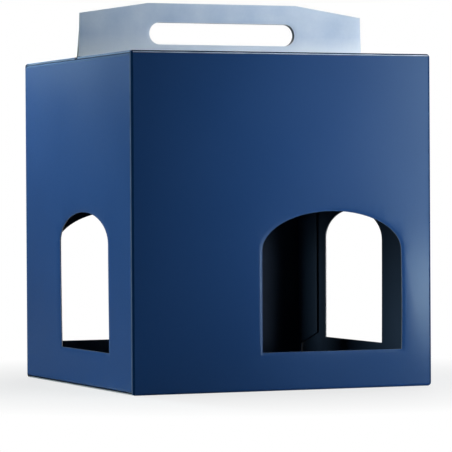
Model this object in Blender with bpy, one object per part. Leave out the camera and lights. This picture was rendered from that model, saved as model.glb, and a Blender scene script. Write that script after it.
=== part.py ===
"""Carry carton for bottles, built flat panel by flat panel.

Four windowed walls make a tube that is closed by one glued side seam.  Four
flaps make the floor, two dust flaps and two top panels make the roof, and the
top panels turn up in the middle into the two plies of the handle.

Metres, +Z up.  The front wall faces -Y and the left wall faces -X.  The
origin is the middle of the underside.
"""
import math

import bmesh
import bpy
from mathutils import Matrix, Vector

# Carton
BOX_WIDTH = 0.258            # outside, left wall to right wall
BOX_DEPTH = 0.254            # outside, front wall to back wall
BOX_HEIGHT = 0.267           # floor to the top of the closed roof
BOARD = 0.0016               # thickness of the micro-flute board
CREASE_RADIUS = 0.0022       # rounding outside a folded edge
GAP = 0.0003                 # between panels that touch on the real carton

# Windows, each nearer the right end of its wall as seen from outside
SILL_HEIGHT = 0.0304         # floor to the lower edge of every window
CROWN_HEIGHT = 0.1414        # floor to the top of every arch
WIDE_WINDOW = 0.121          # front and back
WIDE_ARCH_RISE = 0.031
WIDE_MARGIN = 0.0272         # wall's right end to the window
NARROW_WINDOW = 0.112        # left and right
NARROW_ARCH_RISE = 0.025
NARROW_MARGIN = 0.0515

# Handle
HANDLE_INSET = 0.0026        # each end inside the side wall's face
FRONT_PLY_TAPER = 0.0009     # each end draws in by this much at its top corner
REAR_PLY_TAPER = 0.0030
HANDLE_RISE = 0.0451         # above the roof, in the middle
HANDLE_END_RISE = 0.0360     # above the roof, at the ends
HANDLE_FLAT = 0.132          # level stretch of the top edge
HANDLE_SPREAD = 0.0024       # between the two plies
SLOT_LENGTH = 0.130
SLOT_HEIGHT = 0.018
SLOT_RISE = 0.0203           # roof to the middle of the slot

# Roof
TOP_PANEL_INSET = 0.0010     # top panel's side edges inside the side walls
TOP_PANEL_CORNER = 0.0020
DUST_FLAP_LENGTH = 0.085
DUST_FLAP_INSET = 0.0010     # clearance to the front and back walls
DUST_FLAP_TAPER = 0.018      # each side draws in by this much at the free edge

# Floor
INNER_FLAP_LENGTH = 0.100
INNER_FLAP_INSET = 0.0010
INNER_FLAP_TAPER = 0.012
OUTER_FLAP_INSET = 0.0010
FLOOR_SEAM = 0.0008          # between the two outer flaps

# Side seam
TAB_WIDTH = 0.038
TAB_END = 0.020              # wall's end to the tab's end, along the fold
TAB_TAPER = 0.012
SEAM_SETBACK = 0.0005        # right wall's cut edge inside the back wall's face

ARC_STEPS = 24               # per half ellipse or half circle
CREASE_STEPS = 5             # per rounded edge of one board
WELD = 0.00001               # joins a filled outline's caps to its sides

# Worked out
MITRE_SHIFT = GAP / math.sqrt(2.0)
LAYER = BOARD + GAP
SIDE_TOP = BOX_HEIGHT - LAYER
SEAM_X = BOX_WIDTH / 2.0 - LAYER

COLLECTION = "bottle_carton"

NAVY = (0.009, 0.053, 0.176)
PALE_BLUE = (0.540, 0.648, 0.785)
DARK_NAVY = (0.009, 0.020, 0.040)


def clear_scene():
    """Start from an empty file without closing the one that is open."""
    for old in list(bpy.data.objects):
        bpy.data.objects.remove(old, do_unlink=True)


def new_collection(name):
    group = bpy.data.collections.new(name)
    bpy.context.scene.collection.children.link(group)
    return group


def coated_board(name, colour, roughness=0.42):
    """Printed, lightly varnished board."""
    material = bpy.data.materials.new(name)
    material.use_nodes = True
    shader = material.node_tree.nodes["Principled BSDF"]
    shader.inputs["Base Color"].default_value = (*colour, 1.0)
    shader.inputs["Roughness"].default_value = roughness
    shader.inputs["Metallic"].default_value = 0.0
    material.diffuse_color = (*colour, 1.0)
    return material


def frame(origin, across, upward):
    """Matrix that puts X along `across`, Y along `upward` and Z square to both."""
    x_axis = Vector(across)
    y_axis = Vector(upward)
    turn = Matrix((x_axis, y_axis, x_axis.cross(y_axis))).transposed().to_4x4()
    return Matrix.Translation(Vector(origin)) @ turn


def sheet(name, points, thickness, placing, group):
    """Closed solid from a flat outline, centred on the XY plane of `placing`."""
    curve_data = bpy.data.curves.new(name + "_outline", "CURVE")
    curve_data.dimensions = "2D"
    curve_data.fill_mode = "BOTH"
    curve_data.extrude = thickness / 2.0
    spline = curve_data.splines.new("POLY")
    spline.points.add(len(points) - 1)
    for point, (x, y) in zip(spline.points, points):
        point.co = (x, y, 0.0, 1.0)
    spline.use_cyclic_u = True
    curve = bpy.data.objects.new(name + "_outline", curve_data)
    group.objects.link(curve)
    curve.matrix_world = placing
    graph = bpy.context.evaluated_depsgraph_get()
    mesh_data = bpy.data.meshes.new_from_object(curve.evaluated_get(graph))
    mesh_data.name = name
    weld(mesh_data)
    piece = bpy.data.objects.new(name, mesh_data)
    group.objects.link(piece)
    piece.matrix_world = curve.matrix_world
    bpy.data.objects.remove(curve, do_unlink=True)
    return piece


def weld(mesh_data):
    """Join the caps of a filled curve to its sides."""
    bm = bmesh.new()
    bm.from_mesh(mesh_data)
    bmesh.ops.remove_doubles(bm, verts=bm.verts, dist=WELD)
    bmesh.ops.recalc_face_normals(bm, faces=bm.faces)
    bm.to_mesh(mesh_data)
    bm.free()


def fold_end(along, sign):
    """Rounded, mitred end of a strip that meets its neighbour at a fold.

    The two outer faces would meet at `along`, and the strip lies on the side
    of `sign`.  The points are (along, depth), with depth measured from the
    outer face: from clear of that face, round the crease and down the mitre to
    clear of the inner face.
    """
    middle = along + sign * CREASE_RADIUS
    last = math.acos(GAP / (2.0 * CREASE_RADIUS)) - math.pi / 4.0
    points = [(middle + sign * BOARD, -BOARD)]
    for step in range(CREASE_STEPS + 1):
        turn = last * step / CREASE_STEPS
        points.append((middle - sign * CREASE_RADIUS * math.sin(turn),
                       CREASE_RADIUS * (1.0 - math.cos(turn))))
    points.append((along + sign * (2.0 * BOARD + MITRE_SHIFT), 2.0 * BOARD))
    return points


def cut_end(along, sign):
    """A die-cut end is left to the outline, so the strip runs past it."""
    return [(along - sign * BOARD, -BOARD), (along - sign * BOARD, 2.0 * BOARD)]


def strip_profile(low, high, low_folded, high_folded):
    """Cross-section of a board strip between two ends, as (along, depth)."""
    start = fold_end(low, 1.0) if low_folded else cut_end(low, 1.0)
    end = fold_end(high, -1.0) if high_folded else cut_end(high, -1.0)
    return start + list(reversed(end))


def arch_outline(wall_width, margin, width, rise):
    """Window with straight jambs under half an ellipse."""
    half = width / 2.0
    centre = wall_width / 2.0 - margin - half
    spring = CROWN_HEIGHT - rise
    points = [(centre - half, SILL_HEIGHT), (centre + half, SILL_HEIGHT)]
    for step in range(ARC_STEPS + 1):
        turn = math.pi * step / ARC_STEPS
        points.append((centre + half * math.cos(turn), spring + rise * math.sin(turn)))
    return points


def slot_outline(centre_height, length, height):
    """Stadium slot on the handle's centre line."""
    radius = height / 2.0
    reach = length / 2.0 - radius
    points = []
    for side, start in ((1.0, -math.pi / 2.0), (-1.0, math.pi / 2.0)):
        for step in range(ARC_STEPS + 1):
            turn = start + math.pi * step / ARC_STEPS
            points.append((side * reach + radius * math.cos(turn),
                           centre_height + radius * math.sin(turn)))
    return points


def boolean(piece, cutter, operation, name):
    """Keep the cut as a live modifier and the cutter as a wire guide."""
    modifier = piece.modifiers.new(name, "BOOLEAN")
    modifier.operation = operation
    modifier.object = cutter
    modifier.solver = "EXACT"
    cutter.parent = piece
    cutter.hide_render = True
    cutter.display_type = "WIRE"


class Panel:
    """One flat panel: its outline, its folded edges and its holes.

    Its X runs across, its Y runs up and its Z points out of the outer face,
    which is half a board above the XY plane.
    """

    def __init__(self, name, outline, material, parts, cutters):
        self.name = name
        self.cutters = cutters
        self.outline = outline
        self.piece = sheet(name, outline, BOARD, Matrix.Identity(4), parts)
        self.piece.data.materials.append(material)

    def span(self, axis):
        values = [point[axis] for point in self.outline]
        return min(values), max(values)

    def fold(self, axis, low_folded, high_folded):
        """Round and mitre the folded ends of the strip along X (0) or Y (1)."""
        low, high = self.span(axis)
        side_low, side_high = self.span(1 - axis)
        middle = (side_low + side_high) / 2.0
        inward = (0.0, 0.0, -1.0)
        if axis == 0:
            placing = frame((0.0, middle, BOARD / 2.0), (1.0, 0.0, 0.0), inward)
        else:
            placing = frame((middle, 0.0, BOARD / 2.0), (0.0, 1.0, 0.0), inward)
        label = "across" if axis == 0 else "upright"
        blank = sheet(f"{self.name}_{label}_folds",
                      strip_profile(low, high, low_folded, high_folded),
                      side_high - side_low + 2.0 * BOARD, placing, self.cutters)
        boolean(self.piece, blank, "INTERSECT", label)

    def cut(self, label, outline):
        cutter = sheet(f"{self.name}_{label}_cutter", outline,
                       3.0 * BOARD, Matrix.Identity(4), self.cutters)
        boolean(self.piece, cutter, "DIFFERENCE", label)

    def place(self, origin, across, upward, parent):
        """Lay the outer face in the plane of `across` and `upward` at `origin`."""
        outward = Vector(across).cross(Vector(upward))
        self.piece.matrix_world = frame(Vector(origin) - outward * BOARD / 2.0,
                                        across, upward)
        self.piece.parent = parent


def empty(name, location, parent, parts):
    """Point that pieces hang from, such as the crease that a panel folds about."""
    marker = bpy.data.objects.new(name, None)
    parts.objects.link(marker)
    marker.location = location
    marker.parent = parent
    return marker


def rectangle(low_u, high_u, low_w, high_w):
    return [(low_u, low_w), (high_u, low_w), (high_u, high_w), (low_u, high_w)]


def tapered(half, length, taper):
    """Flap outline that narrows towards its free edge."""
    return [(-half, 0.0), (half, 0.0), (half - taper, length), (-half + taper, length)]


def build_walls(parts, cutters, carton):
    """The tube: four walls, folded at three corners and glued at the fourth."""
    half_width = BOX_WIDTH / 2.0
    half_depth = BOX_DEPTH / 2.0
    wide = arch_outline(BOX_WIDTH, WIDE_MARGIN, WIDE_WINDOW, WIDE_ARCH_RISE)
    narrow = arch_outline(BOX_DEPTH, NARROW_MARGIN, NARROW_WINDOW, NARROW_ARCH_RISE)

    front = Panel("front_wall", rectangle(-half_width, half_width, 0.0, BOX_HEIGHT),
                  coated_board("navy_board_front", NAVY), parts, cutters)
    front.fold(0, True, True)
    front.fold(1, True, True)
    front.cut("window", wide)
    front.place((0.0, -half_depth, 0.0), (1, 0, 0), (0, 0, 1), carton)

    back = Panel("back_wall", rectangle(-SEAM_X, half_width, 0.0, BOX_HEIGHT),
                 coated_board("navy_board_back", NAVY), parts, cutters)
    back.fold(0, True, True)
    back.fold(1, True, True)
    back.cut("window", wide)
    back.place((0.0, half_depth, 0.0), (-1, 0, 0), (0, 0, 1), carton)

    left = Panel("left_wall", rectangle(-half_depth, half_depth, LAYER, SIDE_TOP),
                 coated_board("navy_board_left", NAVY), parts, cutters)
    left.fold(0, True, True)
    left.fold(1, True, True)
    left.cut("window", narrow)
    left.place((-half_width, 0.0, 0.0), (0, -1, 0), (0, 0, 1), carton)

    right = Panel("right_wall",
                  rectangle(-half_depth, half_depth - SEAM_SETBACK, LAYER, SIDE_TOP),
                  coated_board("navy_board_right", NAVY), parts, cutters)
    right.fold(0, True, False)
    right.fold(1, True, True)
    right.cut("window", narrow)
    right.place((half_width, 0.0, 0.0), (0, 1, 0), (0, 0, 1), carton)


def build_glue_tab(parts, cutters, carton):
    """The tab folds off the back wall and is glued inside the right wall."""
    low = LAYER + TAB_END
    high = SIDE_TOP - TAB_END
    outline = [(-TAB_WIDTH, low + TAB_TAPER), (0.0, low),
               (0.0, high), (-TAB_WIDTH, high - TAB_TAPER)]
    tab = Panel("glue_tab", outline, coated_board("tab_board", DARK_NAVY), parts, cutters)
    tab.fold(0, False, True)
    tab.place((SEAM_X, BOX_DEPTH / 2.0, 0.0), (0, 1, 0), (0, 0, 1), carton)


def build_floor(parts, cutters, carton):
    """Inner flaps off the side walls lie on outer flaps off the front and back."""
    outer_half = BOX_WIDTH / 2.0 - OUTER_FLAP_INSET
    outer_length = (BOX_DEPTH - FLOOR_SEAM) / 2.0
    inner_half = BOX_DEPTH / 2.0 - LAYER - INNER_FLAP_INSET
    for name, facing in (("front_bottom_flap", -1.0), ("rear_bottom_flap", 1.0)):
        flap = Panel(name, tapered(outer_half, outer_length, 0.0),
                     coated_board(name + "_board", NAVY), parts, cutters)
        flap.fold(1, True, False)
        flap.place((0.0, facing * BOX_DEPTH / 2.0, 0.0), (facing, 0, 0),
                   (0, -facing, 0), carton)
    for name, facing in (("left_bottom_flap", -1.0), ("right_bottom_flap", 1.0)):
        flap = Panel(name, tapered(inner_half, INNER_FLAP_LENGTH, INNER_FLAP_TAPER),
                     coated_board(name + "_board", DARK_NAVY), parts, cutters)
        flap.fold(1, True, False)
        flap.place((facing * BOX_WIDTH / 2.0, 0.0, LAYER), (0, -facing, 0),
                   (-facing, 0, 0), carton)


def build_dust_flaps(parts, cutters, carton):
    """Flaps off the side walls that close the roof from below.

    They fold down into the carton, about the inner corner of the crease.
    """
    half = BOX_DEPTH / 2.0 - LAYER - DUST_FLAP_INSET
    for name, facing in (("left_dust_flap", -1.0), ("right_dust_flap", 1.0)):
        crease = empty(name + "_crease",
                       (facing * (BOX_WIDTH / 2.0 - BOARD), 0.0, SIDE_TOP - BOARD),
                       carton, parts)
        flap = Panel(name, tapered(half, DUST_FLAP_LENGTH, DUST_FLAP_TAPER),
                     coated_board(name + "_board", DARK_NAVY), parts, cutters)
        flap.fold(1, True, False)
        flap.place((facing * BOARD, 0.0, BOARD), (0, facing, 0), (-facing, 0, 0), crease)


def top_panel_outline():
    half = BOX_WIDTH / 2.0 - TOP_PANEL_INSET
    length = (BOX_DEPTH - HANDLE_SPREAD) / 2.0
    corner = TOP_PANEL_CORNER
    return [(-half + corner, 0.0), (half - corner, 0.0), (half, corner),
            (half, length), (-half, length), (-half, corner)]


def handle_outline(taper):
    """Handle ply, measured up from its fold with the top panel."""
    base = BOX_WIDTH / 2.0 - HANDLE_INSET
    end = base - taper
    level = HANDLE_FLAT / 2.0
    return [(-base, 0.0), (base, 0.0), (end, HANDLE_END_RISE - GAP),
            (level, HANDLE_RISE - GAP), (-level, HANDLE_RISE - GAP),
            (-end, HANDLE_END_RISE - GAP)]


def build_roof(parts, cutters, carton):
    """Each top panel turns about the carton's edge and carries a handle ply."""
    fold_reach = (BOX_DEPTH - HANDLE_SPREAD) / 2.0 - BOARD
    for side, facing, taper in (("front", -1.0, FRONT_PLY_TAPER),
                                ("rear", 1.0, REAR_PLY_TAPER)):
        crease = empty(side + "_top_crease",
                       (0.0, facing * BOX_DEPTH / 2.0, BOX_HEIGHT), carton, parts)
        panel = Panel(side + "_top_panel", top_panel_outline(),
                      coated_board(side + "_top_board", NAVY), parts, cutters)
        panel.fold(1, True, False)
        panel.place((0.0, 0.0, 0.0), (-facing, 0, 0), (0, -facing, 0), crease)

        ply_crease = empty(side + "_ply_crease", (0.0, -facing * fold_reach, GAP),
                           crease, parts)
        ply = Panel(side + "_handle_ply", handle_outline(taper),
                    coated_board(side + "_handle_board", PALE_BLUE), parts, cutters)
        ply.cut("slot", slot_outline(SLOT_RISE - GAP, SLOT_LENGTH, SLOT_HEIGHT))
        ply.place((0.0, 0.0, 0.0), (-facing, 0, 0), (0, 0, 1), ply_crease)


def main():
    clear_scene()
    parts = new_collection(COLLECTION)
    cutters = new_collection("cutters")
    cutters.hide_render = True
    carton = empty("carton", (0.0, 0.0, 0.0), None, parts)
    build_walls(parts, cutters, carton)
    build_glue_tab(parts, cutters, carton)
    build_floor(parts, cutters, carton)
    build_dust_flaps(parts, cutters, carton)
    build_roof(parts, cutters, carton)


main()
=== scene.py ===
# %% [markdown]
# # A folded carton for bottles
#
# The real object is one flat blank of printed board.  It is creased, folded
# into four windowed walls, a floor and a roof, and its two top panels turn up
# in the middle into a carry handle.  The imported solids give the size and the
# place of each board, so this lesson starts from them and never moves them.

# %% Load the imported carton
import math

import bmesh
import bpy
import numpy as np
from mathutils import Matrix, Vector


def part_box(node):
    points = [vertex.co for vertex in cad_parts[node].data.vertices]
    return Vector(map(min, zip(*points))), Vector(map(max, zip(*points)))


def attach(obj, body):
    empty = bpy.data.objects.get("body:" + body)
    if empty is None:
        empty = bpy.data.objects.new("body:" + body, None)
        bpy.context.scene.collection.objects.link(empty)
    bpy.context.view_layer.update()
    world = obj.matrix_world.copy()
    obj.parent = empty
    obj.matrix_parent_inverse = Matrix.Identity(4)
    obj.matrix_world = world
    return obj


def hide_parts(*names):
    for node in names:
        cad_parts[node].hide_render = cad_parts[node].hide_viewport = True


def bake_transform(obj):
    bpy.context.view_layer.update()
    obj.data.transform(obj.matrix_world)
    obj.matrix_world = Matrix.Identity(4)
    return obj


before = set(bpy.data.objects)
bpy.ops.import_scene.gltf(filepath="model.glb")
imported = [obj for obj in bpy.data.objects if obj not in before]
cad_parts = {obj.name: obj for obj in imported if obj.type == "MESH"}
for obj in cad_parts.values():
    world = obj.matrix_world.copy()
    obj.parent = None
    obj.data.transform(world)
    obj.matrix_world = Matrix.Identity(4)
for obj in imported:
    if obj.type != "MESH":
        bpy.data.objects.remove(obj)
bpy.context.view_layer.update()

print("boards in the frame:", len(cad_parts))

# %% [markdown]
# ## What the board is made of
#
# Micro-flute board is three sheets of paper: a printed liner outside, a liner
# inside and a wavy medium between them.  The waves show only where the die
# has cut the board, and there the knife also presses the liners together.
# That rounded, slightly sunken lip is what catches the light around a window.
# It is made by moving vertices and not by a bevel, which would round the folds
# as well.  The ends of the roof panels get hardly any of it.

# %% Sizes of the board and of the carton
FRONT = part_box("front_wall")[0].y
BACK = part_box("back_wall")[1].y
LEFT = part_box("left_wall")[0].x
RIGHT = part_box("right_wall")[1].x
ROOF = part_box("front_top_panel")[1].z
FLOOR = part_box("front_bottom_flap")[0].z
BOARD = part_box("front_bottom_flap")[1].z - FLOOR
SIDE_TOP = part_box("left_dust_flap")[1].z
SIDE_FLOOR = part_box("left_bottom_flap")[0].z
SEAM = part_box("glue_tab")[1].x
PLY_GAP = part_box("front_handle_ply")[0].z - ROOF

CREASE_RADIUS = 0.0022
LINER = 0.00032
MEDIUM = 0.00016
FLUTE_PITCH = 0.0032
FLUTE_STEPS = 8
CORE_HALF = BOARD / 2.0 - LINER
FLUTE_SETBACK = 0.00022
RINGS = (0.0004, 0.0009, 0.0015, 0.0021, 0.0028)
GRID = 0.016
print(f"board {BOARD * 1000:.1f} mm, carton {(RIGHT - LEFT) * 1000:.0f} mm wide")

# %% [markdown]
# ## Reading an outline from a solid
#
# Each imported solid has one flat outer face.  Its border is the board's
# outline, windows and hand slot included, so the shape needs no second list of
# numbers here.  A border edge that meets a rounded face is a fold, and one
# that meets a square face was cut by the die.

# %% Place a board's own axes
def board_axes(node, across, upward):
    """Matrix of a board: X across, Y up, Z out of its outer face."""
    low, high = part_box(node)
    x_axis = Vector(across)
    y_axis = Vector(upward)
    turn = Matrix((x_axis, y_axis, x_axis.cross(y_axis))).transposed().to_4x4()
    return Matrix.Translation((low + high) / 2.0) @ turn


# %% Find the borders of the outer face
SAME_POINT = 1e-6
FLAT = 0.999
ROUNDED = 0.1


def outer_borders(node, placing):
    """Loops of (x, y, folded), material on the left, for one board."""
    bm = bmesh.new()
    bm.from_mesh(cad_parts[node].data)
    bmesh.ops.remove_doubles(bm, verts=bm.verts, dist=SAME_POINT)
    bm.transform(placing.inverted())
    bm.normal_update()
    flat = {face for face in bm.faces if face.normal.z > FLAT}
    onward = {}
    for face in flat:
        for corner in face.loops:
            beyond = [other for other in corner.edge.link_faces if other is not face]
            if beyond[0] in flat:
                continue
            folded = beyond[0].normal.z > ROUNDED
            onward[corner.vert] = (corner.link_loop_next.vert, folded)
    loops = []
    while onward:
        vert = next(iter(onward))
        loop = []
        while vert in onward:
            following, folded = onward.pop(vert)
            loop.append((vert.co.x, vert.co.y, folded))
            vert = following
        loops.append(loop)
    bm.free()
    return loops


# %% [markdown]
# The solids keep their arcs to a few dozen straight facets.  The picture wants
# a smooth arch, so each facet of an arc gets a middle point, raised by the
# height that a circular arc with the same turn would have.  Long straight
# edges are left alone.

# %% Smooth the arcs of an outline
ARC_PASSES = 2
LONGEST_FACET = 0.012
LEAST_TURN = math.radians(0.4)
MOST_TURN = math.radians(20.0)


def turn_at(before, here, after):
    first = math.atan2(here[1] - before[1], here[0] - before[0])
    second = math.atan2(after[1] - here[1], after[0] - here[0])
    return (second - first + math.pi) % (2.0 * math.pi) - math.pi


def smooth_arcs(loop):
    """Add a point on the arc over each short facet between gentle turns."""
    count = len(loop)
    turns = [turn_at(loop[i - 1], loop[i], loop[(i + 1) % count]) for i in range(count)]
    finer = []
    for i, point in enumerate(loop):
        after = loop[(i + 1) % count]
        finer.append(point)
        dx = after[0] - point[0]
        dy = after[1] - point[1]
        length = math.hypot(dx, dy)
        ends = (turns[i], turns[(i + 1) % count])
        gentle = all(LEAST_TURN < abs(turn) < MOST_TURN for turn in ends)
        if length > LONGEST_FACET or not gentle:
            continue
        rise = math.tan((ends[0] + ends[1]) / 8.0) / 2.0
        finer.append((point[0] + dx / 2.0 + dy * rise,
                      point[1] + dy / 2.0 - dx * rise, point[2]))
    return finer


# %% [markdown]
# ## One sheet of paper
#
# A liner is a flat sheet with the board's outline.  Rings of points run
# parallel to its border, close together, so that the pressed lip can curve.
# Inside the rings a fill covers the rest, and a coarse grid of cuts lets the
# whole sheet bow a little.

# %% Move an outline inwards
SHARPEST_MITRE = 0.2


def inset(loop, distance):
    """Outline moved into the material by `distance`."""
    count = len(loop)
    moved = []
    for i in range(count):
        x, y = loop[i][0], loop[i][1]
        before = Vector((x - loop[i - 1][0], y - loop[i - 1][1])).normalized()
        after = Vector((loop[(i + 1) % count][0] - x,
                        loop[(i + 1) % count][1] - y)).normalized()
        first = Vector((-before.y, before.x))
        second = Vector((-after.y, after.x))
        middle = (first + second).normalized()
        reach = distance / max(middle.dot(first), SHARPEST_MITRE)
        moved.append((x + middle.x * reach, y + middle.y * reach))
    return moved


# %% Fill an outline and give it thickness
def closed_sheet(loops, rings, low, high):
    """Solid sheet between two heights, with rings along its border."""
    bm = bmesh.new()
    rims = []
    for loop in loops:
        previous = [bm.verts.new((p[0], p[1], low)) for p in loop]
        count = len(previous)
        for distance in rings:
            current = [bm.verts.new((x, y, low)) for x, y in inset(loop, distance)]
            for i in range(count):
                j = (i + 1) % count
                bm.faces.new((previous[i], previous[j], current[j], current[i]))
            previous = current
        for i in range(count):
            ends = (previous[i], previous[(i + 1) % count])
            rims.append(bm.edges.get(ends) or bm.edges.new(ends))
    bmesh.ops.triangle_fill(bm, use_beauty=True, edges=rims, normal=(0.0, 0.0, 1.0))
    swept = bmesh.ops.extrude_face_region(bm, geom=list(bm.faces), use_keep_orig=True)
    top = [item for item in swept["geom"] if isinstance(item, bmesh.types.BMVert)]
    bmesh.ops.translate(bm, vec=(0.0, 0.0, high - low), verts=top)
    bmesh.ops.recalc_face_normals(bm, faces=bm.faces)
    return bm


# %% Cut a solid into strips so that it can bend
def add_rows(bm, axis, spacing):
    """Slice the mesh with parallel planes across one axis."""
    places = [vert.co[axis] for vert in bm.verts]
    normal = [0.0, 0.0, 0.0]
    normal[axis] = 1.0
    first = math.ceil(min(places) / spacing)
    last = math.floor(max(places) / spacing)
    for step in range(first, last + 1):
        point = [0.0, 0.0, 0.0]
        point[axis] = step * spacing
        everything = list(bm.verts) + list(bm.edges) + list(bm.faces)
        bmesh.ops.bisect_plane(bm, geom=everything, dist=SAME_POINT,
                               plane_co=point, plane_no=normal)


# %% [markdown]
# ## The wavy medium
#
# The flutes run up the walls, because that is how a carton carries weight.
# A wavy sheet a little larger than the board is made first, and a Boolean cuts
# it to the outline, a little inside the liners, as the ends of real flutes are.

# %% Make the wave
def wave(half_width, low_y, high_y):
    """Closed wavy sheet along Y between two ends."""
    step = FLUTE_PITCH / FLUTE_STEPS
    columns = math.ceil(2.0 * half_width / step)
    height = CORE_HALF - MEDIUM
    bm = bmesh.new()
    under = []
    for i in range(columns + 1):
        x = -half_width + i * step
        z = height * math.cos(2.0 * math.pi * x / FLUTE_PITCH) - MEDIUM / 2.0
        under.append((bm.verts.new((x, low_y, z)), bm.verts.new((x, high_y, z))))
    for (a, b), (c, d) in zip(under, under[1:]):
        bm.faces.new((a, c, d, b))
    swept = bmesh.ops.extrude_face_region(bm, geom=list(bm.faces), use_keep_orig=True)
    top = [item for item in swept["geom"] if isinstance(item, bmesh.types.BMVert)]
    bmesh.ops.translate(bm, vec=(0.0, 0.0, MEDIUM), verts=top)
    bmesh.ops.recalc_face_normals(bm, faces=bm.faces)
    return bm


# %% Turn a bmesh into an object, and a Boolean into a mesh
def new_object(name, bm):
    mesh_data = bpy.data.meshes.new(name)
    bm.to_mesh(mesh_data)
    bm.free()
    made = bpy.data.objects.new(name, mesh_data)
    bpy.context.scene.collection.objects.link(made)
    return made


def cut_to(piece, cutter):
    """bmesh of what two objects share; both objects are used up."""
    modifier = piece.modifiers.new("outline", "BOOLEAN")
    modifier.operation = "INTERSECT"
    modifier.object = cutter
    modifier.solver = "EXACT"
    graph = bpy.context.evaluated_depsgraph_get()
    mesh_data = bpy.data.meshes.new_from_object(piece.evaluated_get(graph))
    bm = bmesh.new()
    bm.from_mesh(mesh_data)
    bpy.data.objects.remove(piece, do_unlink=True)
    bpy.data.objects.remove(cutter, do_unlink=True)
    bpy.data.meshes.remove(mesh_data)
    return bm


# %% [markdown]
# ## Bending the flat sheets
#
# Three small movements turn flat sheets into board that has been handled.  The
# lip sinks towards the core where the knife pressed it.  Each wall bows by up
# to a millimetre or so between its creases, where it stays straight.  And the
# strip between the front window and the corner is pushed out by two
# millimetres, so that it turns a little towards the light.  All three are
# formulas for a vertex's height, with no simulation behind them.

# %% Distance to the nearest edge that was cut
def cut_edges(loops):
    """Start and end points of every border edge that isn't a fold."""
    starts = []
    ends = []
    for loop in loops:
        for i, (x, y, folded) in enumerate(loop):
            after = loop[(i + 1) % len(loop)]
            if not folded:
                starts.append((x, y))
                ends.append((after[0], after[1]))
    return np.array(starts), np.array(ends)


FAR = 1.0
TINY = 1e-12


def distances(points, starts, ends):
    """Distance of each point to the nearest of the edges, FAR at most."""
    nearest = np.full(len(points), FAR)
    for start, end in zip(starts, ends):
        along = end - start
        share = np.clip((points - start) @ along / max(along @ along, TINY), 0.0, 1.0)
        gap = np.linalg.norm(points - start - share[:, None] * along, axis=1)
        nearest = np.minimum(nearest, gap)
    return nearest


# %% Press the lips and bow the board
PRESS_REACH = 0.0030
PRESS_DEPTH = 0.00040
ROOF_PRESS_DEPTH = 0.00008
FLEX_HEIGHT = 0.0020
FLEX_FADE = 0.050


def flexed(x, y, flex, high_x):
    """Height of the strip beside a window, which is pushed out a little.

    `flex` is the place of the jamb and the two heights where the push ends.
    """
    jamb, low_y, high_y = flex
    beside = np.sin(math.pi / 2.0 * np.clip((high_x - x) / (high_x - jamb), 0.0, 1.0))
    fade = np.clip(1.0 - (jamb - x) / FLEX_FADE, 0.0, 1.0)
    upright = np.sin(math.pi * np.clip((y - low_y) / (high_y - low_y), 0.0, 1.0))
    return FLEX_HEIGHT * beside * fade * fade * (3.0 - 2.0 * fade) * upright ** 2


def shape_sheet(mesh_data, edges, side, bow, size, flex=None, lip=PRESS_DEPTH):
    """Bend one sheet, and keep its flat place in the attribute board_place.

    `side` is 1 for the outer liner, -1 for the inner one and 0 for the core,
    and `lip` is the depth of the pressed edge.
    """
    count = len(mesh_data.vertices)
    flat = np.zeros(count * 3)
    mesh_data.vertices.foreach_get("co", flat)
    flat = flat.reshape(-1, 3)
    gap = distances(flat[:, :2], *edges)
    near = np.clip(1.0 - gap / PRESS_REACH, 0.0, 1.0)
    press = lip * near * near * (3.0 - 2.0 * near)
    shaped = flat.copy()
    if side:
        shaped[:, 2] -= side * press
    else:
        shaped[:, 2] *= 1.0 - press / CORE_HALF
    low_x, high_x, low_y, high_y = size
    across = np.clip((flat[:, 0] - low_x) / (high_x - low_x), 0.0, 1.0)
    upright = np.clip((flat[:, 1] - low_y) / (high_y - low_y), 0.0, 1.0)
    shaped[:, 2] += bow * np.sin(math.pi * across) * np.sin(math.pi * upright)
    if flex:
        shaped[:, 2] += flexed(flat[:, 0], flat[:, 1], flex, high_x)
    mesh_data.vertices.foreach_set("co", shaped.ravel())
    place = mesh_data.attributes.new("board_place", "FLOAT_VECTOR", "POINT")
    kept = np.column_stack((flat[:, 0], flat[:, 1], gap))
    place.data.foreach_set("vector", kept.astype(np.float32).ravel())
    mesh_data.update()


# %% [markdown]
# ## Shader sums written as sums
#
# Material nodes are easier to read as arithmetic.  One small class wraps a
# socket, so that `1 - mask * 0.3` adds the Math nodes by itself.  A second one
# makes every other kind of node, and a third adds the Principled shader.

# %% Sockets that can be added and multiplied
class Value:
    """Output of a node, usable in ordinary sums."""

    def __init__(self, tree, socket):
        self.tree = tree
        self.socket = socket

    def math(self, operation, first, second=None, limit=False):
        node = self.tree.nodes.new("ShaderNodeMath")
        node.operation = operation
        node.use_clamp = limit
        for slot_index, given in enumerate((first, second)):
            if isinstance(given, Value):
                self.tree.links.new(given.socket, node.inputs[slot_index])
            elif given is not None:
                node.inputs[slot_index].default_value = given
        return Value(self.tree, node.outputs[0])

    def __add__(self, other):
        return self.math("ADD", self, other)

    def __radd__(self, other):
        return self.math("ADD", other, self)

    def __sub__(self, other):
        return self.math("SUBTRACT", self, other)

    def __rsub__(self, other):
        return self.math("SUBTRACT", other, self)

    def __mul__(self, other):
        return self.math("MULTIPLY", self, other)

    def __rmul__(self, other):
        return self.math("MULTIPLY", other, self)

    def __truediv__(self, other):
        return self.math("DIVIDE", self, other)

    def __rtruediv__(self, other):
        return self.math("DIVIDE", other, self)

    def __abs__(self):
        return self.math("ABSOLUTE", self)

    def sine(self):
        return self.math("SINE", self)

    def clamped(self):
        return self.math("ADD", self, 0.0, limit=True)


# %% Nodes of a material or of the world
MIX_SHARE = 0
MIX_FIRST = 6
MIX_SECOND = 7
MIX_COLOUR = 2


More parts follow.
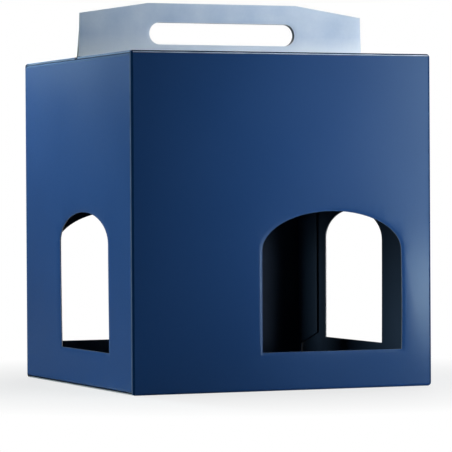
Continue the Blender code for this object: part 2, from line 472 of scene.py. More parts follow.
class Nodes:
    """Short calls that add nodes to one tree."""

    def __init__(self, tree):
        self.tree = tree

    def node(self, kind, settings=None, values=None, output=0):
        """Any node: its settings first, then the values or links of its sockets."""
        node = self.tree.nodes.new(kind)
        for key, setting in (settings or {}).items():
            setattr(node, key, setting)
        for key, given in (values or {}).items():
            self.feed(node.inputs[key], given)
        return Value(self.tree, node.outputs[output])

    def feed(self, socket, given):
        if isinstance(given, Value):
            self.tree.links.new(given.socket, socket)
        else:
            socket.default_value = given

    def light_path(self, name):
        """1 for the kind of ray that is named, 0 for the others."""
        return self.node("ShaderNodeLightPath", output=name)

    def blend(self, share, first, second):
        """Colour between two colours."""
        return self.node("ShaderNodeMix", {"data_type": "RGBA"},
                         {MIX_SHARE: share, MIX_FIRST: first, MIX_SECOND: second},
                         output=MIX_COLOUR)

    def noise(self, vector, scale, detail=3.0, roughness=0.5):
        """Cloudy value around a half."""
        return self.node("ShaderNodeTexNoise", {},
                         {"Vector": vector, "Scale": scale, "Detail": detail,
                          "Roughness": roughness})

    def bump(self, height):
        """Normal for a relief whose height is in metres."""
        return self.node("ShaderNodeBump", {},
                         {"Height": height, "Distance": 1.0, "Strength": 1.0})


# %% A finish with its shader
class Finish(Nodes):
    """Material with a Principled shader."""

    def __init__(self, name):
        self.material = bpy.data.materials.new(name)
        self.material.use_nodes = True
        super().__init__(self.material.node_tree)
        self.shader = self.tree.nodes["Principled BSDF"]

    def set(self, **sockets):
        """Feed the shader's sockets, named with _ for each space."""
        for key, given in sockets.items():
            self.feed(self.shader.inputs[key.replace("_", " ")], given)


# %% [markdown]
# ## Finishes
#
# The print is a deep navy under a thin satin varnish, whose shine is tinted a
# little towards cyan.  What makes it look like board is small: a faint mottle
# in the ink, the washboard that the flutes leave on the surface, paper fibres
# in the varnish, and a paler rub along the cut edges.
#
# Each board carries an attribute, board_place: the place across it, the height
# on it and the distance to its nearest cut.  A crease carries the share of its
# turn in place of the height.  With it the handle's colour grows paler towards
# its lower end, painted light for the light that falls there, and a pale line
# runs along a crease, cracked print with a painted highlight.

# %% Inks, painted light and shade, and varnish
NAVY = (0.0095, 0.0535, 0.1880, 1.0)
NAVY_DEEP = (0.0080, 0.0470, 0.1680, 1.0)
# The next two crease navies are darker than the walls: painted shade in the folds.
NAVY_CREASE_SHADE = (0.0050, 0.0240, 0.0680, 1.0)
NAVY_CORNER_SHADE = (0.0065, 0.0330, 0.1000, 1.0)
# A paler navy for the dust creases: a painted highlight along the side walls' top.
SIDE_CREASE_HIGHLIGHT = (0.0800, 0.1220, 0.2150, 1.0)
# The handle's pale blue: partly its print and partly a painted reflection of the lights above.
PALE_INK_AND_REFLECTION = (0.560, 0.675, 0.820, 1.0)
PALE_DEEP_INK_AND_REFLECTION = (0.440, 0.570, 0.745, 1.0)
# Paler colour for the lower end of the handle: painted light.
PALE_FOOT_LIGHT = (0.840, 0.920, 0.980, 1.0)
RUBBED_NAVY = (0.070, 0.110, 0.200, 1.0)
RUBBED_PALE = (0.700, 0.740, 0.800, 1.0)
# Pale colour of the crease line: cracked print with a painted highlight.
CRACK_HIGHLIGHT = (0.620, 0.720, 0.880, 1.0)
NAVY_VARNISH = 0.29
ROOF_VARNISH = 0.12
HANDLE_VARNISH = 0.22
STRETCHED_VARNISH = 0.0
VARNISH_TINT = (0.76, 1.0, 1.0, 1.0)
VARNISH_IOR = 1.5
PLAIN = (1.0, 1.0, 1.0, 1.0)

# %% Scales of the ink's mottle, of its wear, of the painted light and of its relief
NOISE_MIDDLE = 0.5
MOTTLE_SCALE = 420.0
MOTTLE_CONTRAST = 0.5
MOTTLE_ROUGHNESS = 0.10
MOTTLE_HEIGHT = 0.000010
CLOUD_ROUGHNESS = 0.08
FIBRE_SCALE = 1900.0
FIBRE_HEIGHT = 0.000012
WASHBOARD_HEIGHT = 0.0000015
CRACK_HIGHLIGHT_SCALE = 55.0
CRACK_HIGHLIGHT_CONTRAST = 1.2
CRACK_HIGHLIGHT_LEAST = 0.3
PLY_LOW, PLY_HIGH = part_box("front_handle_ply")
PLY_FOOT = (PLY_LOW.z - PLY_HIGH.z) / 2.0
FOOT_LIGHT_REACH = 0.019
FOOT_LIGHT_SHARE = 0.85
RUB_REACH = 0.0011
RUB_CONTRAST = 2.2
RUB_LEAST = 0.55
RUB_SHARE = 0.55
# The paler lower end of the handle is painted light, for the light that falls there.
print(f"print fades over the lowest {FOOT_LIGHT_REACH * 1000:.0f} mm of the handle")


# %% One maker for every printed finish
def printed(name, ink, deep_ink, rubbed, roughness, clouds=14.0, contrast=1.1,
            varnish=NAVY_VARNISH, tint=VARNISH_TINT, crack_highlight=None, foot_light=None):
    """Ink under varnish.

    `crack_highlight` is the middle, the half width and the share of the pale
    line along a crease, cracked print with a painted highlight, and `foot_light`
    is the paler colour at the lower end of a handle ply, painted light.
    """
    finish = Finish(name)
    place = finish.node("ShaderNodeTexCoord", output="Object")
    board = finish.node("ShaderNodeAttribute", {"attribute_name": "board_place"},
                        output="Vector")
    split = finish.node("ShaderNodeSeparateXYZ", {}, {"Vector": board})
    across, turn, edge = (Value(finish.tree, socket)
                          for socket in split.socket.node.outputs)
    cloud = finish.noise(place, clouds)
    mottle = finish.noise(place, MOTTLE_SCALE, detail=4.0, roughness=0.6)
    fibre = finish.noise(place, FIBRE_SCALE, detail=2.0, roughness=0.6)
    washboard = (across * (2.0 * math.pi / FLUTE_PITCH)).sine()
    ink_mix = ((cloud - NOISE_MIDDLE) * contrast
               + (mottle - NOISE_MIDDLE) * MOTTLE_CONTRAST + NOISE_MIDDLE)
    colour = finish.blend(ink_mix.clamped(), deep_ink, ink)
    # A pale line along the crease: cracked print with a painted highlight.
    if crack_highlight:
        middle, half_width, amount = crack_highlight
        line = (1.0 - abs(turn - middle) / half_width).clamped()
        patches = finish.noise(place, CRACK_HIGHLIGHT_SCALE, detail=2.0)
        patchy = (patches * CRACK_HIGHLIGHT_CONTRAST + CRACK_HIGHLIGHT_LEAST).clamped()
        colour = finish.blend(line * patchy * amount, colour, CRACK_HIGHLIGHT)
    # Painted light: the colour turns paler towards the lower end of a handle ply.
    if foot_light:
        low = (1.0 - (turn - PLY_FOOT) / FOOT_LIGHT_REACH).clamped()
        colour = finish.blend(low * FOOT_LIGHT_SHARE, colour, foot_light)
    near_cut = (1.0 - edge / RUB_REACH).clamped()
    rub = (near_cut * (mottle * RUB_CONTRAST - RUB_LEAST)).clamped()
    smoothest = roughness - (MOTTLE_ROUGHNESS + CLOUD_ROUGHNESS) / 2.0
    sheen = mottle * MOTTLE_ROUGHNESS + cloud * CLOUD_ROUGHNESS + smoothest
    relief = (washboard * WASHBOARD_HEIGHT + fibre * FIBRE_HEIGHT
              + mottle * MOTTLE_HEIGHT)
    finish.set(Base_Color=finish.blend(rub * RUB_SHARE, colour, rubbed),
               Roughness=sheen.clamped(), Normal=finish.bump(relief))
    finish.set(IOR=VARNISH_IOR, Specular_IOR_Level=varnish, Specular_Tint=tint)
    return finish.material


# %% [markdown]
# At the roof, the corners and the dust flaps the fold has stretched the varnish
# until no shine is left, so one helper makes the prints of these creases.  Each
# has a colour of its own: the roof and corner creases are darker than the walls,
# as painted shade, and the dust creases paler, as a painted highlight.  The folds
# under the floor keep the print of the walls.

# %% Finishes of the walls, the roof, the creases and the handle
SATIN = 0.32
ROOF_SATIN = 0.46
HANDLE_SATIN = 0.40
MATT = 0.60
# Middle, half width and share of the crease lines: cracked print with a painted highlight.
ROOF_CRACK_HIGHLIGHT = (0.24, 0.20, 1.0)
CORNER_CRACK_HIGHLIGHT = (0.80, 0.30, 0.22)


def crease_print(name, ink, crack_highlight=None):
    """Print of a crease: one matt colour, darker for painted shade or paler for a painted
    highlight, with the varnish stretched away.
    """
    return printed(name, ink, ink, RUBBED_NAVY, MATT, varnish=STRETCHED_VARNISH,
                   crack_highlight=crack_highlight)


navy_print = printed("navy_print", NAVY, NAVY_DEEP, RUBBED_NAVY, SATIN)
roof_print = printed("roof_print", NAVY, NAVY_DEEP, RUBBED_NAVY, ROOF_SATIN,
                     varnish=ROOF_VARNISH)
# Roof and corner creases: a darker colour as painted shade, with a pale crease line.
roof_crease_shade_print = crease_print("roof_crease_shade_print", NAVY_CREASE_SHADE, ROOF_CRACK_HIGHLIGHT)
corner_crease_shade_print = crease_print("corner_crease_shade_print", NAVY_CORNER_SHADE, CORNER_CRACK_HIGHLIGHT)
# Dust creases: a paler colour as a painted highlight.
side_crease_highlight_print = crease_print("side_crease_highlight_print", SIDE_CREASE_HIGHLIGHT)
# Handle finish: its print, made paler by a painted reflection.
pale_ink_and_reflection_print = printed("pale_blue_reflection_print", PALE_INK_AND_REFLECTION, PALE_DEEP_INK_AND_REFLECTION, RUBBED_PALE, HANDLE_SATIN,
                     clouds=34.0, contrast=3.0, varnish=HANDLE_VARNISH, tint=PLAIN,
                     foot_light=PALE_FOOT_LIGHT)
print("printed finishes:", sum(item.name.endswith("_print") for item in bpy.data.materials))

# %% [markdown]
# The inside of the carton and the cut edges have no varnish.  There the fibres
# of the paper show by themselves, in colour and in relief.  The ends of the roof
# panels are one pale blue, a painted highlight, so that only the relief shows there.

# %% Unvarnished inside and raw paper edges
INSIDE = (0.0090, 0.0240, 0.0520, 1.0)
INSIDE_DEEP = (0.0066, 0.0180, 0.0390, 1.0)
PAPER = (0.420, 0.430, 0.450, 1.0)
PAPER_DEEP = (0.300, 0.310, 0.330, 1.0)
# Pale blue for the ends of the roof panels: a painted highlight.
ROOF_RIM_HIGHLIGHT = (0.3000, 0.4000, 0.6000, 1.0)
PAPER_SHINE = 0.22
RAW_FIBRE_SCALE = 1500.0
RAW_FIBRE_SHARE = 0.8
RAW_FIBRE_ROUGHNESS = 0.1
RAW_FIBRE_HEIGHT = 0.00006
RAW_CLOUD_SCALE = 90.0
RAW_CLOUD_SHARE = 0.4
RAW_LEAST = 0.1


def raw_paper(name, pale, deep, roughness):
    """Uncoated paper: matt, with fibres that show in colour and in relief."""
    finish = Finish(name)
    place = finish.node("ShaderNodeTexCoord", output="Object")
    fibre = finish.noise(place, RAW_FIBRE_SCALE, detail=4.0, roughness=0.65)
    cloud = finish.noise(place, RAW_CLOUD_SCALE)
    paleness = fibre * RAW_FIBRE_SHARE + cloud * RAW_CLOUD_SHARE - RAW_LEAST
    finish.set(Base_Color=finish.blend(paleness.clamped(), deep, pale),
               Roughness=(fibre * RAW_FIBRE_ROUGHNESS + roughness).clamped(),
               Normal=finish.bump(fibre * RAW_FIBRE_HEIGHT))
    finish.set(Specular_IOR_Level=PAPER_SHINE)
    return finish.material


inside_paper = raw_paper("inside_navy_paper", INSIDE, INSIDE_DEEP, roughness=0.62)
edge_paper = raw_paper("cut_edge_paper", PAPER, PAPER_DEEP, roughness=0.80)
roof_rim_highlight = raw_paper("edge_highlight_paper", ROOF_RIM_HIGHLIGHT, ROOF_RIM_HIGHLIGHT, roughness=0.70)
print("paper finishes:", sum(item.name.endswith("_paper") for item in bpy.data.materials))

# %% [markdown]
# ## Building a board
#
# A board is now three calls: the printed liner, the liner inside and the
# medium.  Where a fold takes over from the board, its end is trimmed back to
# where the curve of the fold starts.

# %% Trim an end and measure an outline
def trimmed(loops, axis, sign, amount):
    """Move one straight end of the outline back and call it a fold."""
    if amount is None:
        return loops
    reach = max(sign * point[axis] for loop in loops for point in loop)
    result = []
    for loop in loops:
        fresh = []
        for i, point in enumerate(loop):
            after = loop[(i + 1) % len(loop)]
            at_end = sign * point[axis] > reach - SAME_POINT
            next_at_end = sign * after[axis] > reach - SAME_POINT
            place = [point[0], point[1]]
            if at_end:
                place[axis] -= sign * amount
            fresh.append((place[0], place[1], point[2] or (at_end and next_at_end)))
        result.append(fresh)
    return result


def extent(loops):
    xs = [point[0] for loop in loops for point in loop]
    ys = [point[1] for loop in loops for point in loop]
    return min(xs), max(xs), min(ys), max(ys)


# %% Make the three sheets of one board
BOARD_ANGLE = 30.0
STANDING = 0.5


def dress(piece, materials, body, smooth_angle=BOARD_ANGLE):
    """Give a piece its finishes, its shading and its body."""
    for material in materials:
        piece.data.materials.append(material)
    piece.data.shade_smooth()
    piece.data.set_sharp_from_angle(angle=math.radians(smooth_angle))
    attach(piece, body)


def paint_rim(bm, edges):
    """Faces that stand across the sheet show raw paper where the die cut it."""
    rim = [face for face in bm.faces if abs(face.normal.z) < STANDING]
    centres = np.array([face.calc_center_median().xy for face in rim])
    for face, gap in zip(rim, distances(centres, *edges)):
        face.material_index = 1 if gap < LINER else 0


def make_board(node, across, upward, body, outside, inside,
               rim=edge_paper, bow=0.0, flex=None, lip=PRESS_DEPTH, trim_low=None,
               trim_high=None):
    """Outer liner, inner liner and fluting of one packed board."""
    placing = board_axes(node, across, upward)
    loops = outer_borders(node, placing)
    loops = trimmed(loops, 1, -1.0, trim_low)
    loops = trimmed(loops, 1, 1.0, trim_high)
    for _ in range(ARC_PASSES):
        loops = [smooth_arcs(loop) for loop in loops]
    edges = cut_edges(loops)
    size = extent(loops)
    half = BOARD / 2.0
    for name, side, face_finish in (("outer_liner", 1, outside),
                                    ("inner_liner", -1, inside)):
        low = half - LINER if side > 0 else -half
        bm = closed_sheet(loops, RINGS, low, low + LINER)
        paint_rim(bm, edges)
        add_rows(bm, 0, GRID / 2.0 if flex else GRID)
        add_rows(bm, 1, GRID)
        piece = new_object(f"{node}_{name}", bm)
        shape_sheet(piece.data, edges, side, bow, size, flex, lip)
        piece.data.transform(placing)
        dress(piece, (face_finish, rim), body)

    half_width = max(abs(size[0]), abs(size[1])) + FLUTE_PITCH
    ripple = new_object("ripple", wave(half_width, size[2] - BOARD, size[3] + BOARD))
    blank = new_object("blank", closed_sheet(
        [[(*point, False) for point in inset(loop, FLUTE_SETBACK)] for loop in loops],
        (), -BOARD, BOARD))
    bm = cut_to(ripple, blank)
    if bow:
        add_rows(bm, 1, GRID * 2.0)
    core = new_object(f"{node}_fluting", bm)
    shape_sheet(core.data, edges, 0, bow, size, flex, lip)
    core.data.transform(placing)
    dress(core, (rim,), body)
    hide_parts(node)


# %% [markdown]
# ## The boards
#
# Every board of the blank follows.  Opposite walls are the same shape turned
# half round.  The left wall bows out most, as a wide panel with no divider
# behind it does.  JAMB_FLEX places the flexed strip on the front wall: how far
# across the window's jamb stands, and the two heights where the flex ends.

# %% Walls
PLUS_X = (1, 0, 0)
MINUS_X = (-1, 0, 0)
PLUS_Y = (0, 1, 0)
MINUS_Y = (0, -1, 0)
PLUS_Z = (0, 0, 1)

JAMB_FLEX = (0.100, -0.1365, 0.0085)
make_board("front_wall", PLUS_X, PLUS_Z, "root", navy_print, inside_paper,
           bow=0.0004, flex=JAMB_FLEX)
make_board("back_wall", MINUS_X, PLUS_Z, "root", navy_print, inside_paper,
           bow=0.0006)
make_board("left_wall", MINUS_Y, PLUS_Z, "root", navy_print, inside_paper,
           bow=0.0013)
make_board("right_wall", PLUS_Y, PLUS_Z, "root", navy_print, inside_paper,
           bow=0.0008)
make_board("glue_tab", PLUS_Y, PLUS_Z, "root", inside_paper, inside_paper,
           rim=inside_paper)

# %% Floor
make_board("front_bottom_flap", MINUS_X, PLUS_Y, "root", navy_print, inside_paper)
make_board("rear_bottom_flap", PLUS_X, MINUS_Y, "root", navy_print, inside_paper)
make_board("left_bottom_flap", PLUS_Y, PLUS_X, "root", inside_paper, inside_paper,
           rim=inside_paper)
make_board("right_bottom_flap", MINUS_Y, MINUS_X, "root", inside_paper,
           inside_paper, rim=inside_paper)

# %% Roof and handle
make_board("left_dust_flap", MINUS_Y, PLUS_X, "left_dust", navy_print,
           inside_paper)
make_board("right_dust_flap", PLUS_Y, MINUS_X, "right_dust", navy_print,
           inside_paper)
make_board("front_top_panel", PLUS_X, PLUS_Y, "front_roof", roof_print,
           inside_paper, rim=roof_rim_highlight, lip=ROOF_PRESS_DEPTH,
           trim_high=CREASE_RADIUS)
make_board("rear_top_panel", MINUS_X, MINUS_Y, "rear_roof", roof_print,
           inside_paper, rim=roof_rim_highlight, lip=ROOF_PRESS_DEPTH,
           trim_high=CREASE_RADIUS)
PLY_TRIM = CREASE_RADIUS - BOARD - PLY_GAP
make_board("front_handle_ply", PLUS_X, PLUS_Z, "front_grip", pale_ink_and_reflection_print,
           edge_paper, trim_low=PLY_TRIM)
make_board("rear_handle_ply", MINUS_X, PLUS_Z, "rear_grip", pale_ink_and_reflection_print,
           edge_paper, trim_low=PLY_TRIM)

# %% [markdown]
# ## The creases
#
# A fold in board is a quarter of a ring: the outer liner stretches round it
# and the inner one crumples.  Folds that never open again are one solid ring.
# At a fold that does open, only the outer liner crosses over, and it bends
# between its two boards.  Behind it each board ends in half a ring.

# %% Sweep a section along a fold
QUARTER_TURN = 90.0
FOLD_STEPS = 10
FOLD_ROWS = 24
UPRIGHT_ROWS = 240
CREASE_ANGLE = 50.0
END_ROUND = 0.7


def ring_section(corner, into_a, into_b, outer, inner, first, last):
    """Part of the quarter ring about a fold, as points square to it.

    The outer faces of the boards would meet at `corner`.  Turn 0 lies on board
    A and turn 90 on board B.
    """
    a = Vector(into_a)
    b = Vector(into_b)
    centre = Vector(corner) + (a + b) * CREASE_RADIUS
    turns = [math.radians(first + (last - first) * i / FOLD_STEPS)
             for i in range(FOLD_STEPS + 1)]
    around = [centre - (b * math.cos(turn) + a * math.sin(turn)) * outer
              for turn in turns]
    back = [centre - (b * math.cos(turn) + a * math.sin(turn)) * inner
            for turn in reversed(turns)]
    return around + back


def sweep(name, section, start, end, rows, tuck=None):
    """Closed bar with that section, drawn along start to end."""
    bm = bmesh.new()
    rings = []
    run = Vector(end) - Vector(start)
    for row in range(rows + 1):
        share = row / rows
        shift = Vector(start) + run * share
        if tuck is not None:
            shift = shift + tuck(share)
        rings.append([bm.verts.new(point + shift) for point in section])
    count = len(section)
    for ring, following in zip(rings, rings[1:]):
        for i in range(count):
            j = (i + 1) % count
            bm.faces.new((ring[i], ring[j], following[j], following[i]))
    half = count // 2
    for ring in (rings[0], rings[-1]):
        for i in range(half - 1):
            bm.faces.new((ring[i], ring[i + 1], ring[count - 2 - i],
                          ring[count - 1 - i]))
    bmesh.ops.recalc_face_normals(bm, faces=bm.faces)
    return new_object(name, bm)


def mark_place(piece, along):
    """Crease coordinates: distance along it, share of its turn, far from a cut."""
    count = len(piece.data.vertices)
    places = np.zeros(count * 3)
    piece.data.vertices.foreach_get("co", places)
    places = places.reshape(-1, 3)
    step = np.arange(count) % (2 * FOLD_STEPS + 2)
    kept = np.ones((count, 3), np.float32)
    kept[:, 0] = places @ np.array(along, float)
    kept[:, 1] = np.minimum(step, 2 * FOLD_STEPS + 1 - step) / FOLD_STEPS
    attribute = piece.data.attributes.new("board_place", "FLOAT_VECTOR", "POINT")
    attribute.data.foreach_set("vector", kept.ravel())


# %% Folds that stay folded
def corner_tuck(into_a, into_b, length):
    """Draws both ends of an upright fold in, as the folds beside them round off."""
    inwards = Vector(into_a) + Vector(into_b)

    def tuck(share):
        from_end = min(share, 1.0 - share) * length
        beyond = max(CREASE_RADIUS - from_end, 0.0) * END_ROUND
        return inwards * (CREASE_RADIUS
                          - math.sqrt(CREASE_RADIUS ** 2 - beyond ** 2))

    return tuck


def fixed_fold(name, corner, into_a, into_b, along, low, high, finish,
               upright=False):
    """Solid quarter ring for a fold that never opens again."""
    section = ring_section(corner, into_a, into_b, CREASE_RADIUS,
                           CREASE_RADIUS - BOARD, 0.0, QUARTER_TURN)
    direction = Vector(along)
    rows = UPRIGHT_ROWS if upright else FOLD_ROWS
    tuck = corner_tuck(into_a, into_b, high - low) if upright else None
    bar = sweep(name, section, direction * low, direction * high, rows, tuck)
    mark_place(bar, along)
    dress(bar, (finish,), "root", smooth_angle=CREASE_ANGLE)


UPRIGHT_LOW = FLOOR + CREASE_RADIUS * (1.0 - END_ROUND)
UPRIGHT_HIGH = ROOF - CREASE_RADIUS * (1.0 - END_ROUND)
for name, x, y, into_x, into_y in (("front_left_crease", LEFT, FRONT, 1, 1),
                                   ("front_right_crease", RIGHT, FRONT, -1, 1),
                                   ("back_left_crease", LEFT, BACK, 1, -1),
                                   ("glue_tab_crease", SEAM, BACK, -1, -1)):
    fixed_fold(name, (x, y, 0.0), (into_x, 0, 0), (0, into_y, 0), PLUS_Z,
               UPRIGHT_LOW, UPRIGHT_HIGH, corner_crease_shade_print,
               upright=True)

# %% Folds along the floor
INNER_FLAP_HALF = (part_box("left_bottom_flap")[1].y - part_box("left_bottom_flap")[0].y) / 2.0
for name, y, into_y in (("front_floor_crease", FRONT, 1), ("rear_floor_crease", BACK, -1)):
    fixed_fold(name, (0.0, y, FLOOR), (0, 0, 1), (0, into_y, 0), PLUS_X,
               LEFT + CREASE_RADIUS, RIGHT - CREASE_RADIUS, navy_print)
for name, x, into_x in (("left_floor_crease", LEFT, 1), ("right_floor_crease", RIGHT, -1)):
    fixed_fold(name, (x, 0.0, SIDE_FLOOR), (0, 0, 1), (into_x, 0, 0), PLUS_Y,
               -INNER_FLAP_HALF, INNER_FLAP_HALF, navy_print)

# %% Folds that open
HALF_RING_GAP = 2.0
HALF_RING_CORE = 0.0006
DUST_RING_CORE = 0.0011
SKIN_GAP = 0.00004


def opening_fold(name, corner, into_a, into_b, along, low, high, bodies, finish,
                 core=HALF_RING_CORE):
    """Liner that bends between two bodies, and half a ring on each of them."""
    direction = Vector(along)
    start = direction * low
    end = direction * high
    skin = ring_section(corner, into_a, into_b, CREASE_RADIUS,
                        CREASE_RADIUS - LINER, 0.0, QUARTER_TURN)
    strip = sweep(name, skin, start, end, FOLD_ROWS)
    mark_place(strip, along)
    dress(strip, (finish,), bodies[0], smooth_angle=CREASE_ANGLE)
    world = strip.matrix_world.copy()
    strip.parent = None
    strip.matrix_world = world
    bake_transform(strip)
    middle = QUARTER_TURN / 2.0
    halves = (("lower", bodies[0], 0.0, middle - HALF_RING_GAP),
              ("upper", bodies[1], middle + HALF_RING_GAP, QUARTER_TURN))
    for label, body, first, last in halves:
        half_ring = ring_section(corner, into_a, into_b,
                                 CREASE_RADIUS - LINER - SKIN_GAP, core, first, last)
        shoulder = sweep(f"{name}_{label}_half", half_ring, start, end, 1)
        mark_place(shoulder, along)
        dress(shoulder, (inside_paper,), body)


for side, y, inward in (("front", FRONT, 1), ("rear", BACK, -1)):
    panel_low, panel_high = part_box(f"{side}_top_panel")
    opening_fold(f"{side}_roof_crease", (0.0, y, ROOF), (0, 0, -1), (0, inward, 0),
                 PLUS_X, LEFT + CREASE_RADIUS, RIGHT - CREASE_RADIUS,
                 ("root", f"{side}_roof"), roof_crease_shade_print)
    ply_low, ply_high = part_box(f"{side}_handle_ply")
    meeting = panel_high.y if inward > 0 else panel_low.y
    opening_fold(f"{side}_ply_crease", (0.0, meeting, ROOF - BOARD),
                 (0, -inward, 0), (0, 0, 1), PLUS_X, ply_low.x, ply_high.x,
                 (f"{side}_roof", f"{side}_grip"), inside_paper,
                 core=CREASE_RADIUS - BOARD)
DUST_HALF = (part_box("left_dust_flap")[1].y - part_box("left_dust_flap")[0].y) / 2.0
for side, x, inward in (("left", LEFT, 1), ("right", RIGHT, -1)):
    opening_fold(f"{side}_dust_crease", (x, 0.0, SIDE_TOP), (0, 0, -1), (inward, 0, 0),
                 PLUS_Y, -DUST_HALF, DUST_HALF, ("root", f"{side}_dust"),
                 side_crease_highlight_print, core=DUST_RING_CORE)

# %% [markdown]
# ## Floor, backdrop, camera and light
#
# The camera stands where the photograph was taken from: a long lens, 23
# degrees round to the left of the front wall and almost level with its middle.
# The white backdrop behind the carton is no object.  The world and the floor
# turn white for the camera, and for glossy rays on the side where the backdrop
# would hang, so that its white shows in the board's shine and adds no other light.

# %% Where the backdrop hangs
AZIMUTH = math.radians(-22.661)
ELEVATION = math.radians(0.684)
FORWARD = Vector((-math.sin(AZIMUTH) * math.cos(ELEVATION),
                  math.cos(AZIMUTH) * math.cos(ELEVATION),
                  -math.sin(ELEVATION)))
BACKDROP_EDGE = math.cos(math.radians(36.0))
BACKDROP_FULL = math.cos(math.radians(20.0))


def towards_backdrop(nodes, direction):
    """1 for directions that meet the backdrop, with a soft edge."""
    unit = nodes.node("ShaderNodeVectorMath", {"operation": "NORMALIZE"}, {0: direction})
    facing = nodes.node("ShaderNodeVectorMath", {"operation": "DOT_PRODUCT"},
                        {0: unit, 1: tuple(FORWARD)}, output="Value")
    return ((facing - BACKDROP_EDGE) / (BACKDROP_FULL - BACKDROP_EDGE)).clamped()


def mirrored(nodes):
    """1 for rays that leave a glossy or a clear surface."""
    return nodes.light_path("Is Glossy Ray") + nodes.light_path("Is Transmission Ray")


# %% [markdown]
# A lit floor alone would come out grey, so the camera sees the floor glow
# white.  Near the carton about a quarter of what shows is the lit floor
# itself, which keeps a soft shadow.  Right under the carton the glow is off,
# so that less of it shows through the seams.

# %% Pale floor
FLOOR_COLOUR = (0.58, 0.59, 0.60, 1.0)
FLOOR_ROUGHNESS = 0.7
FLOOR_SEGMENTS = 96
FLOOR_DROP = 0.0001
FLOOR_REACH = 6.0
SHADOW_REACH = 0.16
WHITE_REACH = 0.38
SHADOW_SHARE = 0.24
UNDER_REACH = 0.112
UNDER_EDGE = 0.010


def pale_floor():
    finish = Finish("pale_floor")
    finish.set(Base_Color=FLOOR_COLOUR, Roughness=FLOOR_ROUGHNESS,
               Specular_IOR_Level=PAPER_SHINE)
    place = finish.node("ShaderNodeNewGeometry", output="Position")
    distance = finish.node("ShaderNodeVectorMath", {"operation": "LENGTH"},
                           {0: place}, output="Value")
    far = ((distance - SHADOW_REACH) / (WHITE_REACH - SHADOW_REACH)).clamped()
    beside = ((distance - UNDER_REACH) / UNDER_EDGE).clamped()
    shown = beside * (far * SHADOW_SHARE + (1 - SHADOW_SHARE))
    glow = (finish.light_path("Is Camera Ray") * shown
            + mirrored(finish) * far * towards_backdrop(finish, place))
    white = finish.node("ShaderNodeEmission", {}, {"Strength": 1.0})
    mixed = finish.node("ShaderNodeMixShader", {},
                        {0: glow.clamped(), 1: Value(finish.tree, finish.shader.outputs[0]),
                         2: white})
    finish.feed(finish.tree.nodes["Material Output"].inputs["Surface"], mixed)
    bm = bmesh.new()
    bmesh.ops.create_circle(bm, cap_ends=True, segments=FLOOR_SEGMENTS,
                            radius=FLOOR_REACH)
    floor = new_object("floor", bm)
    floor.location.z = FLOOR - FLOOR_DROP
    floor.data.materials.append(finish.material)


pale_floor()

# %% Camera
SENSOR = 0.036
FRAME_PIXELS = 452.0
FOCAL_PIXELS = 2866.0
ROLL = math.radians(-0.339)
DISTANCE = 2.3752
AIM_RIGHT = 0.0028
AIM_UP = -0.0047
CLIP_END = 50.0


def photo_camera():
    level = Vector((math.cos(AZIMUTH), math.sin(AZIMUTH), 0.0))
    plumb = level.cross(FORWARD)
    right = level * math.cos(ROLL) + plumb * math.sin(ROLL)
    up = plumb * math.cos(ROLL) - level * math.sin(ROLL)
    target = Vector((0.0, 0.0, (ROOF + FLOOR) / 2.0))
    place = target - FORWARD * DISTANCE + right * AIM_RIGHT + up * AIM_UP
    turn = Matrix((right, up, -FORWARD)).transposed().to_4x4()
    data = bpy.data.cameras.new("photo_camera")
    data.sensor_width = SENSOR * 1000.0
    data.lens = data.sensor_width * FOCAL_PIXELS / FRAME_PIXELS
    data.clip_end = CLIP_END
    camera = bpy.data.objects.new("photo_camera", data)
    bpy.context.scene.collection.objects.link(camera)
    camera.matrix_world = Matrix.Translation(place) @ turn
    bpy.context.scene.camera = camera
    print(f"lens {data.lens:.0f} mm")


photo_camera()


# %% [markdown]
# A near softbox on the right gives the front wall its fall of light and the
# soft shine at its right end.  It wears a grid, so its light stays in a cone.
# A second one, high in front, has a tighter grid and fills the middle of that
# wall.  A small gridded panel behind the left wall shines on its upper part, and
# a far one lights the whole of it.  The others fill in from above and behind.

# %% Soft lights
WIDE = math.radians(180.0)
GRID_CLOTH = math.radians(56.0)
SIDE_GRID = math.radians(40.0)
TIGHT_GRID = math.radians(15.0)
NEUTRAL = (1.0, 1.0, 1.0)


def soft_light(name, place, aim, width, height, power, colour=NEUTRAL, spread=WIDE):
    """Area lamp turned towards a point; power in watts."""
    data = bpy.data.lights.new(name, "AREA")
    data.shape = "RECTANGLE"
    data.size = width
    data.size_y = height
    data.energy = power
    data.color = colour
    data.spread = spread
    lamp = bpy.data.objects.new(name, data)
    bpy.context.scene.collection.objects.link(lamp)
    lamp.location = place
    direction = Vector(aim) - Vector(place)
    lamp.rotation_mode = "QUATERNION"
    lamp.rotation_quaternion = direction.to_track_quat("-Z", "Y")
    lamp.visible_camera = False


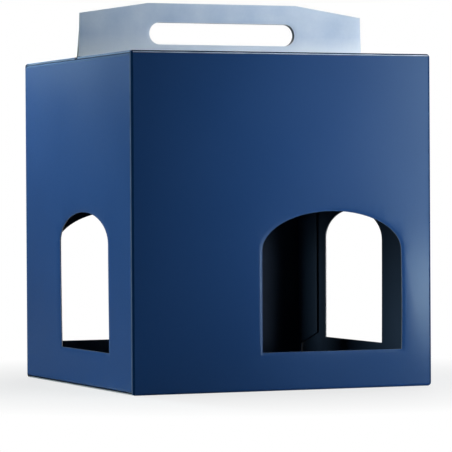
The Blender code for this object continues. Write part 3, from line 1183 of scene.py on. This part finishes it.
MIDDLE = (0.0, 0.0, 0.14)
RIGHT_OF_FRONT = (0.14, FRONT, 0.20)
ON_LEFT = (LEFT, 0.0, 0.16)
HIGH_ON_LEFT = (LEFT, 0.10, 0.26)
MIDDLE_OF_FRONT = (0.03, FRONT, 0.19)
COOL = (0.72, 0.88, 1.0)
COOL_SIDE = (0.72, 0.93, 1.0)
PALE_SIDE = (0.86, 1.0, 1.0)
soft_light("right_softbox", (0.44, -0.42, 0.26), RIGHT_OF_FRONT, width=0.25,
           height=0.50, power=0.64, spread=GRID_CLOTH)
soft_light("front_pool", (-0.10, -1.30, 0.90), MIDDLE_OF_FRONT, width=0.12,
           height=0.12, power=0.034, spread=TIGHT_GRID)
soft_light("left_softbox", (-2.4, 0.5, 0.45), ON_LEFT, width=0.9, height=0.9,
           power=44.0, colour=PALE_SIDE)
soft_light("left_shine", (-0.19, 0.38, 0.40), HIGH_ON_LEFT, width=0.12, height=0.20,
           power=0.29, colour=COOL_SIDE, spread=SIDE_GRID)
soft_light("top_softbox", (0.4, -0.2, 1.4), MIDDLE, width=0.8, height=0.8,
           power=1.4, colour=COOL)
soft_light("back_softbox", (0.9, 1.3, 0.7), MIDDLE, width=0.8, height=0.8, power=8.0)
print("lamps:", len(bpy.data.lights))

# %% [markdown]
# The room itself is dim and a little cyan, and fills the shadows.  Only the
# camera, and glossy rays that meet the backdrop, find white there.

# %% World
ROOM = 0.036
ROOM_TINT = (0.55, 0.85, 1.0, 1.0)


def studio_world():
    world = bpy.data.worlds.new("studio")
    bpy.context.scene.world = world
    world.use_nodes = True
    nodes = Nodes(world.node_tree)
    direction = nodes.node("ShaderNodeTexCoord", output="Generated")
    seen = (nodes.light_path("Is Camera Ray")
            + mirrored(nodes) * towards_backdrop(nodes, direction)).clamped()
    background = nodes.tree.nodes["Background"]
    nodes.feed(background.inputs["Color"], nodes.blend(seen, ROOM_TINT, PLAIN))
    nodes.feed(background.inputs["Strength"], seen * (1.0 - ROOM) + ROOM)


studio_world()
bpy.context.scene.view_settings.view_transform = "Standard"
